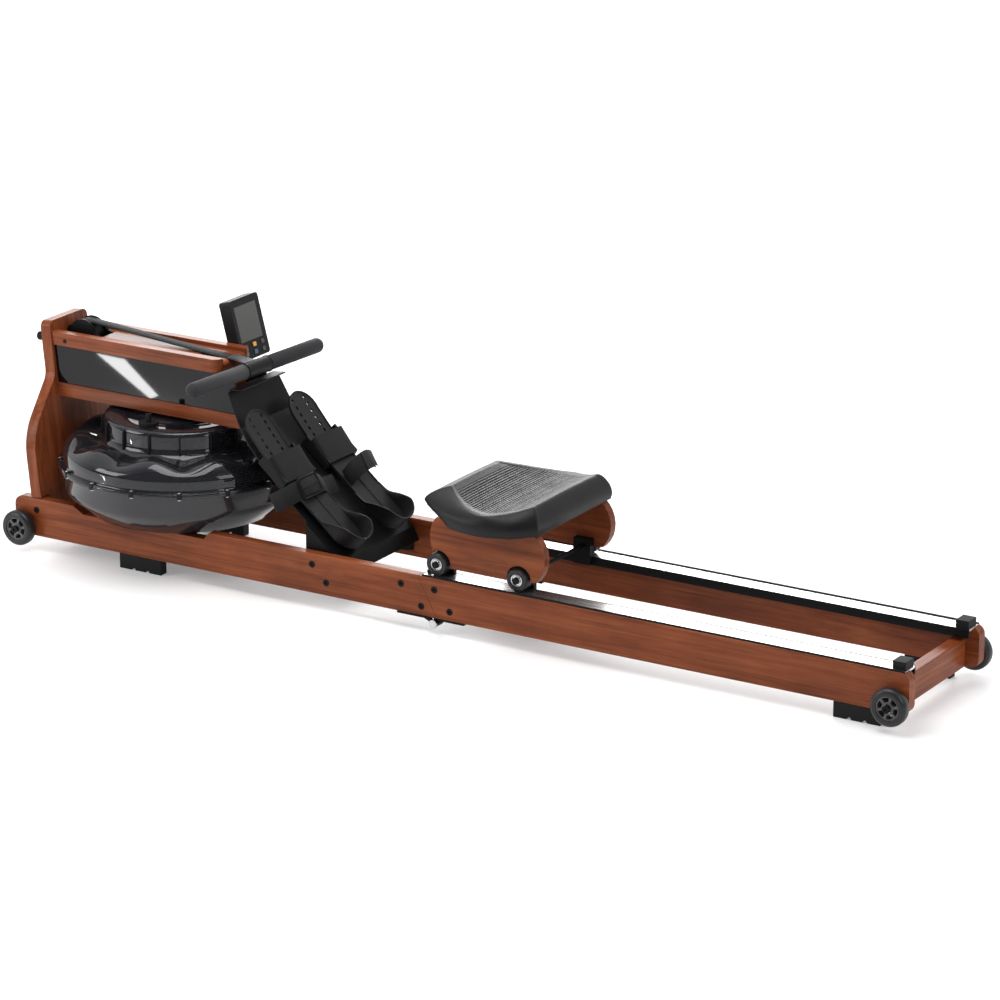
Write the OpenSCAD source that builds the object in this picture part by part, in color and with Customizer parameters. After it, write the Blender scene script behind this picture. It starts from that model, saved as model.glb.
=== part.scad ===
// Folding water rowing machine: two wooden side rails hinged in the middle, a water
// tank with an impeller, a strap drive with a pull handle, a footboard and a rolling seat.
// X runs from the tank end (negative) to the seat end (positive), Z is up, floor at Z = 0.

/* [Rails] */
// Length over both rail sections
rail_len = 2100; // [2000:10:2200]
// Width over the two side rails
rail_span = 326; // [316:2:336]
// Thickness of a side rail
rail_t = 25; // [22:1:28]
// Height of a side rail
rail_h = 84; // [80:1:90]
// Height of the rubber feet under the rails
foot_h = 32; // [28:1:36]
// Position of the fold joint at the rails' top edge
joint_top_x = 1007; // [1000:1:1015]
// Position of the fold joint at the rails' bottom edge
joint_low_x = 1052; // [1046:1:1058]

/* [Tower] */
// Forward lean of the front post in degrees
post_lean = 6; // [0:0.5:8]
// Half width of the tower over its beams
tower_half = 62; // [58:1:66]
// Thickness of a tower beam
beam_t = 20; // [16:1:22]
// Height of a tower beam
beam_h = 28; // [24:1:30]
// Height of the top beams' upper edge
top_beam_z = 453; // [450:1:460]
// Height of the lower beams' upper edge
low_beam_z = 343; // [340:1:346]
// Rear end of the top beams
top_beam_end = 458; // [450:1:462]

/* [Tank] */
// Position of the tank axis
tank_x = 320; // [316:1:324]
// Outer radius of the tank wall
tank_r = 250; // [246:1:252]
// Outer radius of the tank flange
flange_r = 260; // [257:1:262]
// Height of the tank's floor above the ground
tank_z = 101; // [101:0.5:102]
// Height of the parting plane between the two shells
seam_z = 202; // [198:1:206]
// Wall thickness of the shells
shell_t = 4; // [3:0.5:5]

/* [Drive] */
// Position of the front pulley axle
pulley_x = 83; // [82:1:84]
// Height of the front pulley axle
pulley_z = 439; // [438:0.5:440]
// Radius of the pulley under the strap
pulley_r = 32; // [31:0.5:33]
// Width of the strap
strap_w = 28; // [24:1:30]
// Downward slope of the stored strap in degrees
strap_slope = 4.6; // [4:0.1:5]
// Free length of strap between the pulley and its end in the clip
strap_len = 386; // [382:1:390]

/* [Handle] */
// Position of the stored handle's axis
handle_x = 510; // [508:1:512]
// Height of the stored handle's axis
handle_z = 431; // [429:1:433]
// Length of the handle
handle_len = 438; // [420:2:450]
// Radius of the handle grips
grip_r = 16; // [14:0.5:17]
// Turn of the stored handle about the vertical, in degrees
handle_yaw = 4; // [0:1:8]

/* [Footboard] */
// Slope of the footboard in degrees
board_slope = 40.6; // [40:0.2:41]
// Half width of the footboard between the rails
board_half = 136; // [130:1:136]
// Distance of each foot rest from the middle
foot_y = 78; // [76:1:80]
// Half width of a foot rest's sole
sole_half = 43; // [40:1:45]

/* [Seat] */
// Position of the front seat rollers at the front stop
roller_front_x = 1042; // [1040:1:1044]
// Distance between front and rear seat rollers
roller_base = 187; // [180:1:190]
// Radius of a seat roller
roller_r = 23.5; // [22:0.5:24]
// Half width of the seat pad
pad_half = 183; // [176:1:186]

/* [Monitor] */
// Width of the monitor housing
monitor_w = 102; // [96:1:106]
// Height of the monitor housing
monitor_h = 130; // [120:1:136]
// Depth of the monitor housing
monitor_d = 28; // [24:1:30]
// Backward lean of the monitor in degrees
monitor_lean = 14.6; // [10:0.2:18]

/* [Wheels] */
// Radius of a transport wheel
wheel_r = 38; // [36:1:40]
// Width of a transport wheel
wheel_w = 26; // [24:1:28]

/* [Hidden] */
$fn = 64;

gap = 0.3;
wood = "#7a3d22";
dark = "#26262a";
steel = "#8c9096";

// Rails
front_wheel_x = 22;
rear_wheel_x = 2069;
wheel_z = 51;
mid_x = (front_wheel_x + rear_wheel_x) / 2;
rail_y = rail_span / 2;
rail_in = rail_y - rail_t;
rail_z = foot_h;
rail_top = rail_z + rail_h;
notch_z = tank_z - gap;
plate_t = 4;
bolt_r = 3.9;
front_bolt_places = [[56, 90], [753, 94], [787, 60], [967, 92], [1015, 52]];
rear_bolt_places = [[1046, 92], [1082, 52]];

// Tower
post_x = 43;
post_top = 474;
deck_top = top_beam_z - 7;
deck_t = 12;
deck_low = deck_top - deck_t;
low_beam_low = low_beam_z - beam_h;
core_half = tower_half - beam_t - gap;
screw_x = 67;
screw_z = top_beam_z - 17;
knob_y = 52;
knob_heights = [top_beam_z - 14, low_beam_z - 14];

// Tank
collar_r = 163;
collar_z = 308;
plug_y = -118;
tank_bolt_n = 16;
shaft_r = 6;

// Drive
pulley_half = 16;
spool_x = tank_x;
spool_z = 334;
spool_h = 50;
bridge_z = top_beam_z - beam_h - gap - 5;

// Footboard: its bend, and the end of its straight slope
board_x = 538;
board_z = 330;
board_t = 3;
board_lip = 403;
board_end_x = 806;
board_end_z = board_z - (board_end_x - board_x) * tan(board_slope);

// Seat
track_top = rail_top + 1;
track_in = 115;
roller_rear_x = roller_front_x + roller_base;
roller_z = track_top + roller_r;
roller_y = 124;
roller_w = 25;
axle_r = 4;
pad_x0 = 1004;
pad_x1 = 1276;
pad_low = 238;
pad_top = 292;

// Monitor
monitor_x = 432;
monitor_y = 117;
monitor_z = 413;
tilt_x = 398;
tilt_z = 436;
button_places = [[-29, 28], [2, 28], [31, 28], [-29, 12], [2, 12], [31, 12]];

// Fold hinge
pin_x = 1044.4;
pin_z = 20;
pin_r = 4;
barrel_r = 7.9;
leaf_t = 3.4;
leaf_z = rail_z - leaf_t - gap / 2;

// ---- Drawing helpers ----

// Moves a piece that is drawn from the rails' front end into the machine's frame
module place() { translate([-mid_x, 0, 0]) children(); }

// The same piece on both sides of the machine
module both_sides() { children(); mirror([0, 1, 0]) children(); }

// A slab whose outline is given in X and Z, from y to y + t
module xz_slab(y, t) { translate([0, y + t, 0]) rotate([90, 0, 0]) linear_extrude(t) children(); }

// A slab whose outline is given in Y and Z, from x to x + t
module yz_slab(x, t) { translate([x, 0, 0]) rotate([90, 0, 90]) linear_extrude(t) children(); }

// A cylinder along Y from y to y + len
module y_rod(x, y, z, r, len) { translate([x, y + len, z]) rotate([90, 0, 0]) cylinder(r = r, h = len); }

// Points of an arc, counted in degrees
function arc(cx, cy, r, from, to, n = 6) =
    [for (i = [0:n]) [cx + r * cos(from + (to - from) * i / n), cy + r * sin(from + (to - from) * i / n)]];

// The points of an outline, with its first coordinate mirrored and its order turned round
function mirrored(p) = [for (i = [len(p) - 1:-1:0]) [-p[i][0], p[i][1]]];

// A rectangle with round corners
module round_rect(w, h, r) {
    translate([r, 0]) square([w - 2 * r, h]);
    translate([0, r]) square([w, h - 2 * r]);
    for (x = [r, w - r], y = [r, h - r]) translate([x, y]) circle(r);
}

// The left-hand normal of the stretch from a to b
function normal(a, b) = let (d = b - a) [-d[1], d[0]] / norm(d);

// How far point i of an open line moves for a mitred offset of 1
function mitre(p, i) =
    let (last = len(p) - 1, k = min(i, last - 1), j = max(i - 1, 0),
         s = normal(p[j], p[j + 1]) + normal(p[k], p[k + 1])) s * 2 / (s * s);

// A strip of thickness t on the left side of an open line
module strip(p, t) {
    polygon(concat(p, [for (i = [len(p) - 1:-1:0]) p[i] + mitre(p, i) * t]));
}

// ---- Fasteners ----

// Bolts through the right-hand rail at the given places, their heads sunk in its outer face
module rail_bolts(places) {
    for (b = places) difference() {
        union() {
            y_rod(b[0], rail_y - 2, b[1], 7, 3);
            y_rod(b[0], rail_in - plate_t - gap, b[1], bolt_r, rail_t + plate_t);
        }
        translate([b[0], rail_y + 2, b[1]]) rotate([90, 0, 0]) cylinder(r = 3, h = 3, $fn = 6);
    }
}

// The room that those bolts need
module rail_bores(places) {
    for (b = places) {
        y_rod(b[0], rail_y - 2, b[1], 7.1, 4);
        y_rod(b[0], rail_in - 10, b[1], 4, rail_t + 12);
    }
}

// Bolt that carries a transport wheel outside a rail
module wheel_bolt(x) {
    y_rod(x, rail_in + 4, wheel_z, axle_r, rail_t - 4 + wheel_w + 7);
    y_rod(x, rail_y + 0.2, wheel_z, 9, 4);
    difference() {
        y_rod(x, rail_y + wheel_w + 6, wheel_z, 8, 4);
        translate([x, rail_y + wheel_w + 11, wheel_z]) rotate([90, 0, 0]) cylinder(r = 3, h = 3, $fn = 6);
    }
}

// ---- Side rails ----

module rail_section(x0, x1) {
    yz_slab(x0, x1 - x0) translate([rail_in, rail_z]) round_rect(rail_t, rail_h, 3);
}

module front_rail_outline() {
    r = 20;
    drop = rail_top - notch_z;
    polygon(concat(
        arc(r, rail_z + r, r, 270, 180), arc(r, rail_top - r, r, 180, 90),
        [[151, rail_top], [178, notch_z], [486, notch_z], [498, rail_top]],
        [[joint_top_x - gap, rail_top], [joint_low_x - gap, rail_z]]));
}

module front_rail() {
    difference() {
        intersection() {
            rail_section(0, joint_low_x);
            xz_slab(rail_in - 1, rail_t + 2) front_rail_outline();
        }
        rail_bores(front_bolt_places);
        y_rod(front_wheel_x, rail_in + 3, wheel_z, axle_r + 0.1, rail_t);
    }
}
module front_rail_right() { color(wood) place() front_rail(); }
module front_rail_left() { color(wood) mirror([0, 1, 0]) place() front_rail(); }

module rear_rail_outline() {
    r = 18;
    polygon(concat(
        [[joint_low_x + gap, rail_z], [joint_top_x + gap, rail_top]],
        arc(rail_len - r, rail_top - r, r, 90, 0), arc(rail_len - r, rail_z + r, r, 0, -90)));
}

module rear_rail() {
    difference() {
        intersection() {
            rail_section(joint_top_x, rail_len);
            xz_slab(rail_in - 1, rail_t + 2) rear_rail_outline();
        }
        rail_bores(rear_bolt_places);
        y_rod(rear_wheel_x, rail_in + 3, wheel_z, axle_r + 0.1, rail_t);
    }
}
module rear_rail_right() { color(wood) place() rear_rail(); }
module rear_rail_left() { color(wood) mirror([0, 1, 0]) place() rear_rail(); }

module rear_crosspiece() {
    color(wood) place() translate([2044, -rail_in, rail_z]) cube([28, 2 * rail_in, 59]);
}

// Rubber foot with three lobes, under the right-hand rail
module foot_block(x, len) {
    h = foot_h - gap / 2;
    xz_slab(rail_in + 2, rail_t - 4) difference() {
        translate([x, 0]) square([len, h]);
        for (i = [1, 2]) translate([x + i * len / 3, 0]) circle(5);
    }
}
module front_feet() { color(dark) place() both_sides() foot_block(268, 105); }
module rear_feet() { color(dark) place() both_sides() foot_block(1940, 100); }

module front_bolts() {
    color(dark) place() {
        both_sides() {
            rail_bolts(front_bolt_places);
            wheel_bolt(front_wheel_x);
            y_rod(screw_x, tower_half - 12, screw_z, 4.5, 12.5);
        }
        for (y = [-knob_y, knob_y], z = knob_heights) lean() translate([-18, y, z]) rotate([0, 90, 0]) {
            rotate_extrude() polygon(concat([[0, 0]], arc(6, 3.5, 3.5, -90, 0), [[9.5, 17.8], [0, 17.8]]));
            translate([0, 0, 17]) cylinder(r = bolt_r, h = 55);
        }
    }
}
module rear_bolts() {
    color(dark) place() both_sides() {
        rail_bolts(rear_bolt_places);
        wheel_bolt(rear_wheel_x);
    }
}

// ---- Tower ----

// Outline of the post's right-hand edge, wide at the rails and narrow at the top
function post_edge() =
    let (foot = rail_y - 0.5, neck = tower_half + 4, big = 120, small = 40, corner = 14)
    concat([[foot, rail_top + gap]], arc(foot - big, 206, big, 0, 45),
        arc(neck + small, 374, small, 225, 180), [[neck, 420]],
        arc(neck - corner - 1, post_top - corner, corner, 0, 90));

module post_outline() {
    tongue = rail_in - plate_t - gap;
    polygon(concat([[tongue, 42], [tongue, rail_top + gap]], post_edge(),
        mirrored(post_edge()), [[-tongue, rail_top + gap], [-tongue, 42]]));
}

// Leans a piece that is drawn upright on the rails' top edge
module lean() {
    translate([post_x, 0, rail_top]) rotate([0, -post_lean, 0]) translate([0, 0, -rail_top]) children();
}

// Room for the knobs' bolts
module knob_bores() {
    for (y = [-knob_y, knob_y], z = knob_heights)
        lean() translate([-1, y, z]) rotate([0, 90, 0]) cylinder(r = bolt_r + 0.1, h = 60);
}

module front_post() {
    color(wood) place() difference() {
        lean() yz_slab(0, rail_t) post_outline();
        both_sides() translate([0, rail_in - plate_t, 0]) cube([120, 60, rail_top + gap]);
        knob_bores();
    }
}

// X of the post's rear face at a height
function post_back(z) = post_x + rail_t / cos(post_lean) - (z - rail_top) * tan(post_lean) + gap;

// A beam on the right-hand side, from the post to x_end at its top and to x_low at its bottom
module beam(z_top, x_end, x_low) {
    z0 = z_top - beam_h;
    xz_slab(tower_half - beam_t, beam_t)
        polygon([[post_back(z0), z0], [post_back(z_top), z_top], [x_end, z_top], [x_low, z0]]);
}
module top_beam() {
    r = 19;
    difference() {
        intersection() {
            beam(top_beam_z, top_beam_end, top_beam_end);
            translate([0, 0, top_beam_z - 50]) linear_extrude(60) polygon(concat([[0, 0], [0, tower_half]],
                arc(top_beam_end - r, tower_half - r, r, 90, 0), [[top_beam_end, 0]]));
        }
        knob_bores();
        y_rod(screw_x, tower_half - 12.1, screw_z, 4.6, 14);
    }
}
module top_beam_right() { color(wood) place() top_beam(); }
module top_beam_left() { color(wood) mirror([0, 1, 0]) place() top_beam(); }
module lower_beams() {
    color(wood) place() difference() {
        both_sides() beam(low_beam_z, 527, 540);
        knob_bores();
    }
}

// Top board between the beams, with a slot for the pulley and one for the strap
module deck() {
    slot = strap_w / 2 + 4;
    slot_x = 385;
    color(wood) place() difference() {
        xz_slab(-core_half, 2 * core_half) polygon(concat(
            [[top_beam_end, deck_low], [post_back(deck_low), deck_low], [post_back(deck_top), deck_top]],
            arc(top_beam_end - 8, deck_top - 8, 8, 90, 0, 4)));
        translate([0, -25.3, deck_low - 1]) cube([133, 50.6, deck_t + 2]);
        translate([slot_x, -slot, deck_low - 1]) cube([90, 2 * slot, deck_t + 2]);
    }
}
module rear_block() {
    color(wood) place() translate([432, -core_half, low_beam_low])
        cube([24, 2 * core_half, deck_low - low_beam_low - gap]);
}
module side_panels() {
    z0 = low_beam_z + gap;
    z1 = top_beam_z - beam_h - gap;
    color("#141416") place() both_sides() xz_slab(tower_half - 8, 4)
        polygon([[post_back(z0), z0], [post_back(z1), z1], [488, z1], [524, z0]]);
}

// ---- Water tank ----

module revolve() { translate([tank_x, 0, 0]) rotate_extrude($fn = 96) children(); }

module tank_bolt_places() {
    for (i = [0:tank_bolt_n - 1])
        translate([tank_x, 0, seam_z]) rotate([0, 0, (i + 0.5) * 360 / tank_bolt_n])
            translate([tank_r + 5.8, 0, 0]) children();
}

module tank_lower_shell() {
    t = shell_t;
    z = tank_z;
    side_r = tank_r - t;
    color("#3a3d44") place() difference() {
        revolve() polygon([[0, z], [190, z], [197, z + 3], [tank_r - 3, 148], [tank_r, 155],
            [tank_r, seam_z - 5], [flange_r, seam_z - 5], [flange_r, seam_z], [side_r, seam_z],
            [side_r, 156], [side_r - 3, 150], [195, z + 6], [190, z + t], [24, z + t], [24, z + 16],
            [0, z + 16]]);
        translate([tank_x, 0, z + 6]) cylinder(r = shaft_r + 0.05, h = 20);
        tank_bolt_places() translate([0, 0, -20]) cylinder(r = 2.1, h = 40);
    }
}
module tank_upper_shell() {
    t = shell_t;
    r = 20;
    side_r = tank_r - t;
    z = seam_z + gap;
    color("#4a4d55") place() difference() {
        revolve() polygon(concat(
            [[side_r, z], [flange_r, z], [flange_r, z + 5], [tank_r, z + 5]],
            arc(tank_r - r, 235, r, 0, 84, 5), [[collar_r + 10, 256], [collar_r, 266]],
            arc(collar_r - 8, collar_z - 8, 8, 0, 90, 4), [[13, collar_z], [13, collar_z - t]],
            [[collar_r - t - 4, collar_z - t], [collar_r - t, collar_z - 2 * t], [collar_r - t, 262]],
            [[collar_r + 8, 252]], arc(tank_r - r, 235, r - t, 84, 0, 5)));
        tank_bolt_places() translate([0, 0, -20]) cylinder(r = 2.1, h = 40);
        translate([tank_x, plug_y, collar_z - 10]) cylinder(r = 16, h = 20);
    }
}
module tank_bolts() {
    color(steel) place() tank_bolt_places() {
        translate([0, 0, -8]) cylinder(r = 2, h = 16);
        translate([0, 0, 5.4]) cylinder(r = 3.8, h = 3);
        translate([0, 0, -8.1]) cylinder(r = 3.8, h = 3);
    }
}
module fill_plug() {
    color(dark) place() translate([tank_x, plug_y, collar_z]) {
        translate([0, 0, -8]) cylinder(r = 15.8, h = 9);
        translate([0, 0, 0.2]) cylinder(r = 21, h = 7);
        translate([0, 0, 5]) cylinder(r = 6, h = 19);
    }
}

// Shaft with paddles that turns in the water
module impeller() {
    color(dark) place() translate([tank_x, 0, 0]) {
        translate([0, 0, tank_z + 7]) cylinder(r = shaft_r, h = bridge_z + 5 - tank_z - 7);
        translate([0, 0, 128]) cylinder(r = 22, h = 62);
        for (i = [0:5]) rotate([0, 0, i * 60]) translate([15, -2, 132]) cube([185, 4, 54]);
    }
}

// ---- Drive inside the tower ----

module bearing_bridge() {
    half = tower_half - 8 - gap;
    color(steel) place() difference() {
        translate([tank_x - 40, -half, bridge_z]) cube([80, 2 * half, 5]);
        translate([tank_x, 0, bridge_z - 1]) cylinder(r = shaft_r + 0.05, h = 10);
    }
}
module recoil_housing() {
    z0 = spool_z + spool_h + 1;
    color(dark) place() translate([spool_x, 0, z0]) difference() {
        cylinder(r = 40, h = bridge_z - gap - z0);
        translate([0, 0, -1]) cylinder(r = 36, h = bridge_z - 2 - z0);
        cylinder(r = shaft_r + 1, h = 60);
    }
}
module strap_spool() {
    color(dark) place() translate([spool_x, 0, spool_z]) difference() {
        union() {
            cylinder(r = 38, h = 3);
            cylinder(r = 28, h = spool_h);
            translate([0, 0, spool_h - 3]) cylinder(r = 38, h = 3);
            cylinder(r = 12, h = spool_h + 8);
        }
        translate([0, 0, -1]) cylinder(r = shaft_r + 0.05, h = 60);
    }
}
module pulley_bracket() {
    x0 = 45;
    x1 = 128;
    guard_top = deck_top + 18;
    color(dark) place() {
        both_sides() xz_slab(20, 5) difference() {
            polygon(concat([[x1, deck_top], [x1, deck_low - 4], [x0, deck_low - 4]],
                arc(x0 + 18, guard_top - 18, 18, 180, 90, 5), arc(x1 - 30, guard_top - 22, 22, 90, 20, 5)));
            translate([pulley_x, pulley_z]) circle(axle_r);
        }
        y_rod(pulley_x, -20, pulley_z, axle_r - 0.05, 40);
    }
}
module front_pulley() {
    color(dark) place() difference() {
        union() {
            y_rod(pulley_x, -pulley_half, pulley_z, pulley_r, 2 * pulley_half);
            both_sides() y_rod(pulley_x, pulley_half, pulley_z, pulley_r + 5, 3);
        }
        y_rod(pulley_x, -40, pulley_z, axle_r, 80);
        both_sides() y_rod(pulley_x, 6, pulley_z, 22, 20);
    }
}

// Strap from under the pulley to the spool, turning from flat to upright
module inner_strap() {
    run = spool_x - pulley_x;
    drop = pulley_z - pulley_r - 1.5 - spool_z - spool_h / 2;
    color(dark) place() translate([pulley_x, 0, pulley_z - pulley_r - 1.5])
        rotate([0, 90 + atan(drop / run), atan(29.5 / run)])
            linear_extrude(height = run - 8, twist = 90, slices = 10, segments = 4)
                square([2, strap_w], center = true);
}

// X along the strap and Z square to it, from where the strap leaves the pulley
module along_strap() {
    translate([pulley_x, 0, pulley_z]) rotate([0, strap_slope, 0]) translate([0, 0, pulley_r]) children();
}
module pull_strap() {
    line = concat(arc(0, 0, pulley_r + gap, 266, 90, 18), [[strap_len, pulley_r + gap]]);
    color(dark) place() translate([pulley_x, 0, pulley_z]) rotate([0, strap_slope, 0])
        xz_slab(-strap_w / 2, strap_w) strip(line, 2.4);
}

// ---- Handle ----

module at_handle() { translate([handle_x, 0, handle_z]) rotate([0, 0, -handle_yaw]) children(); }

// Plate that joins the strap's end to the handle, grown by grow for its slot
module clip_plate(grow) {
    along_strap() translate([strap_len - 22, -14 - grow, 2.8 - grow])
        cube([52, 28 + 2 * grow, 3.2 + 2 * grow]);
}
module strap_clip() { color(steel) place() clip_plate(0); }
module handle_bar() { color(steel) place() at_handle() y_rod(0, 8 - handle_len / 2, 0, 9, handle_len - 16); }
module handle_grips() {
    end = handle_len / 2;
    round_end = 11;
    color(dark) place() at_handle() both_sides() difference() {
        union() {
            y_rod(0, 37, 0, grip_r, end - round_end - 37);
            translate([0, end - round_end, 0]) rotate([-90, 0, 0]) rotate_extrude()
                polygon(concat([[0, 0], [grip_r, 0]], arc(grip_r - round_end, 0, round_end, 10, 90)));
        }
        y_rod(0, 0, 0, 9, end - 8);
    }
}
module handle_sleeve() {
    color(dark) place() difference() {
        at_handle() difference() {
            y_rod(0, -36.7, 0, grip_r + 0.8, 73.4);
            y_rod(0, -40, 0, 9, 80);
        }
        clip_plate(gap);
    }
}

// ---- Footboard and foot rests ----

// X down the board's slope from its bend, Z out of its surface
module on_board() { translate([board_x, 0, board_z]) rotate([0, board_slope, 0]) children(); }

module footboard() {
    line = [[820, 72], [board_end_x, board_end_z], [board_x, board_z], [503, 400], [530, board_lip]];
    widths = [[75, 420], [80, 399], [89, 398], [97, 330], [113, 302], [123, 268], [130, 230], [134, 196],
        [137, 40]];
    color(dark) place() {
        intersection() {
            xz_slab(-board_half, 2 * board_half) strip(line, board_t);
            yz_slab(480, 360) polygon(concat(widths, mirrored(widths)));
        }
        both_sides() difference() {
            xz_slab(rail_in - plate_t - gap, plate_t) polygon([[722, 169], [800, 102], [805, 96], [805, 48],
                [776, 44], [738, 78], [722, 106]]);
            rail_bores(front_bolt_places);
        }
    }
}

// Plastic bases on the board, one under each foot rest
module foot_bases() {
    color(dark) place() on_board() both_sides() translate([84, foot_y, 0.2]) {
        translate([0, -53, 0]) cube([74, 106, 11]);
        for (y = [-53, 47]) translate([0, y, 0]) cube([74, 6, 24]);
    }
}

// Wall round the heel, high at the back and low at the front
module heel_cup(heel_x) {
    r = sole_half;
    difference() {
        intersection() {
            union() {
                translate([heel_x, 0, 12]) cylinder(r = r, h = 52);
                translate([heel_x - 89, -r, 12]) cube([89, 2 * r, 52]);
            }
            xz_slab(-60, 120) polygon([[236, 11], [236, 17], [266, 21], [294, 41], [316, 52],
                [350, 52], [350, 11]]);
        }
        translate([heel_x, 0, 16]) cylinder(r = r - 4, h = 60);
        translate([200, 4 - r, 16]) cube([heel_x - 200, 2 * r - 8, 60]);
    }
}

// Sole with two rows of holes, a heel cup and a raised toe end
module foot_slider() {
    line = [[360, 12], [100, 12], [40, 20], [-60, 46]];
    heel_x = 303;
    hole_pitch = 16;
    translate([0, foot_y, 0]) difference() {
        union() {
            intersection() {
                xz_slab(-sole_half, 2 * sole_half) strip(line, -4);
                union() {
                    translate([30, -sole_half, 0]) cube([heel_x - 30, 2 * sole_half, 60]);
                    for (x = [30, heel_x]) translate([x, 0, 0]) cylinder(r = sole_half, h = 60);
                }
            }
            heel_cup(heel_x);
        }
        for (i = [0:6], y = [-20, 20]) translate([4 + i * hole_pitch, y, -2]) cylinder(r = 3.4, h = 60);
    }
}
module foot_slider_right() { color(dark) place() on_board() foot_slider(); }
module foot_slider_left() { color(dark) mirror([0, 1, 0]) place() on_board() foot_slider(); }

// Webbing band over each foot, outside the base's side walls
module toe_straps() {
    half = [[53.4, 4], [53.4, 30], [48, 36], [30, 37]];
    color("#1c1c1f") place() on_board() both_sides() translate([96, foot_y, 0]) rotate([90, 0, 90])
        linear_extrude(62) strip(concat(half, mirrored(half)), -2.4);
}

// ---- Monitor ----

// Z up the monitor's face and X out of it, from the face's lower edge
module on_monitor() {
    translate([monitor_x, monitor_y, monitor_z]) rotate([0, -monitor_lean, 0]) children();
}

// A key-shaped peg from depth x0 to x1, grown by grow
module key_peg(b, x0, x1, grow) {
    w = 11 + 2 * grow;
    h = 9 + 2 * grow;
    on_monitor() translate([x0, b[0] - w / 2, b[1] - h / 2]) rotate([90, 0, 90])
        linear_extrude(x1 - x0) round_rect(w, h, 2.5);
}
module monitor_housing() {
    w = monitor_w;
    color(dark) place() difference() {
        union() {
            on_monitor() translate([-monitor_d, -w / 2, 0]) rotate([90, 0, 90])
                linear_extrude(monitor_d) round_rect(w, monitor_h, 7);
            for (y = [-22, 16]) y_rod(tilt_x, monitor_y + y, tilt_z, 8, 6);
        }
        on_monitor() translate([-1.6, -40, 38]) cube([4, 77, 77]);
        for (b = button_places) key_peg(b, -8, 4, 0.3);
        y_rod(tilt_x, monitor_y - 30, tilt_z, 3.05, 60);
        for (y = [-16, 8]) translate([tilt_x - 26, monitor_y + y, tilt_z - 40]) cube([36, 8, 54]);
    }
}
module monitor_lens() {
    color("#8d9489") place() on_monitor() translate([-1.4, -39.7, 38.3]) cube([1.2, 76.4, 76.4]);
}
module monitor_bracket() {
    arm_z = tilt_z - 26;
    color(dark) place() {
        for (y = [-15, 9]) xz_slab(monitor_y + y, 6) difference() {
            polygon(concat(arc(tilt_x, tilt_z, 7, -50, 150), [[tilt_x - 18, arm_z + 6], [tilt_x - 18, arm_z],
                [tilt_x - 5, arm_z]]));
            translate([tilt_x, tilt_z]) circle(3);
        }
        y_rod(tilt_x, monitor_y - 22, tilt_z, 3, 44);
        translate([tilt_x - 18, tower_half + gap, arm_z]) cube([13, monitor_y + 15 - tower_half - gap, 6]);
        translate([tilt_x - 26, tower_half + gap, arm_z]) cube([32, 3, 40]);
    }
}
module key(i, shade) { color(shade) place() key_peg(button_places[i], -5, 1.2, 0); }
module power_button() { key(0, dark); }
module mode_button() { key(1, "orange"); }
module set_button() { key(2, dark); }
module reset_button() { key(3, dark); }
module up_button() { key(4, "steelblue"); }
module down_button() { key(5, dark); }

// ---- Fold hinge ----

// A barrel round the pin from y to y + w, joined to its leaf on side s
module knuckle(y, w, s) {
    difference() {
        union() {
            y_rod(pin_x, y, pin_z, barrel_r, w);
            xz_slab(y, w) polygon([[pin_x, pin_z - 2], [pin_x + s * 22, leaf_z], [pin_x + s * 22, leaf_z + 1],
                [pin_x + s * 8.5, leaf_z + 1], [pin_x + s * 4, pin_z + 4]]);
        }
        y_rod(pin_x, y - 1, pin_z, pin_r + 0.05, w + 2);
    }
}
module front_hinge_leaves() {
    inner = [[945, 40], [945, 106], [996, 106], [1032, 40]];
    color(dark) place() both_sides() {
        translate([957, rail_in, leaf_z]) cube([pin_x - 8.5 - 957, rail_t, leaf_t]);
        for (y = [rail_in, rail_y - 7]) knuckle(y, 7, -1);
        difference() {
            xz_slab(rail_in - plate_t - gap, plate_t) polygon(inner);
            rail_bores(front_bolt_places);
        }
    }
}
module rear_hinge_leaves() {
    inner = [[1064, 40], [1030, 104], [1105, 104], [1105, 40]];
    color(dark) place() both_sides() {
        translate([pin_x + 8.5, rail_in, leaf_z]) cube([62, rail_t, leaf_t]);
        knuckle(rail_in + 7.3, 10.4, 1);
        difference() {
            xz_slab(rail_in - plate_t - gap, plate_t) polygon(inner);
            rail_bores(rear_bolt_places);
        }
    }
}
module hinge_pins() {
    color(steel) place() both_sides() {
        y_rod(pin_x, rail_in - 3, pin_z, pin_r, rail_t + 4);
        y_rod(pin_x, rail_y + 0.3, pin_z, 9, 4);
    }
}

// ---- Tracks and seat ----

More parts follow.
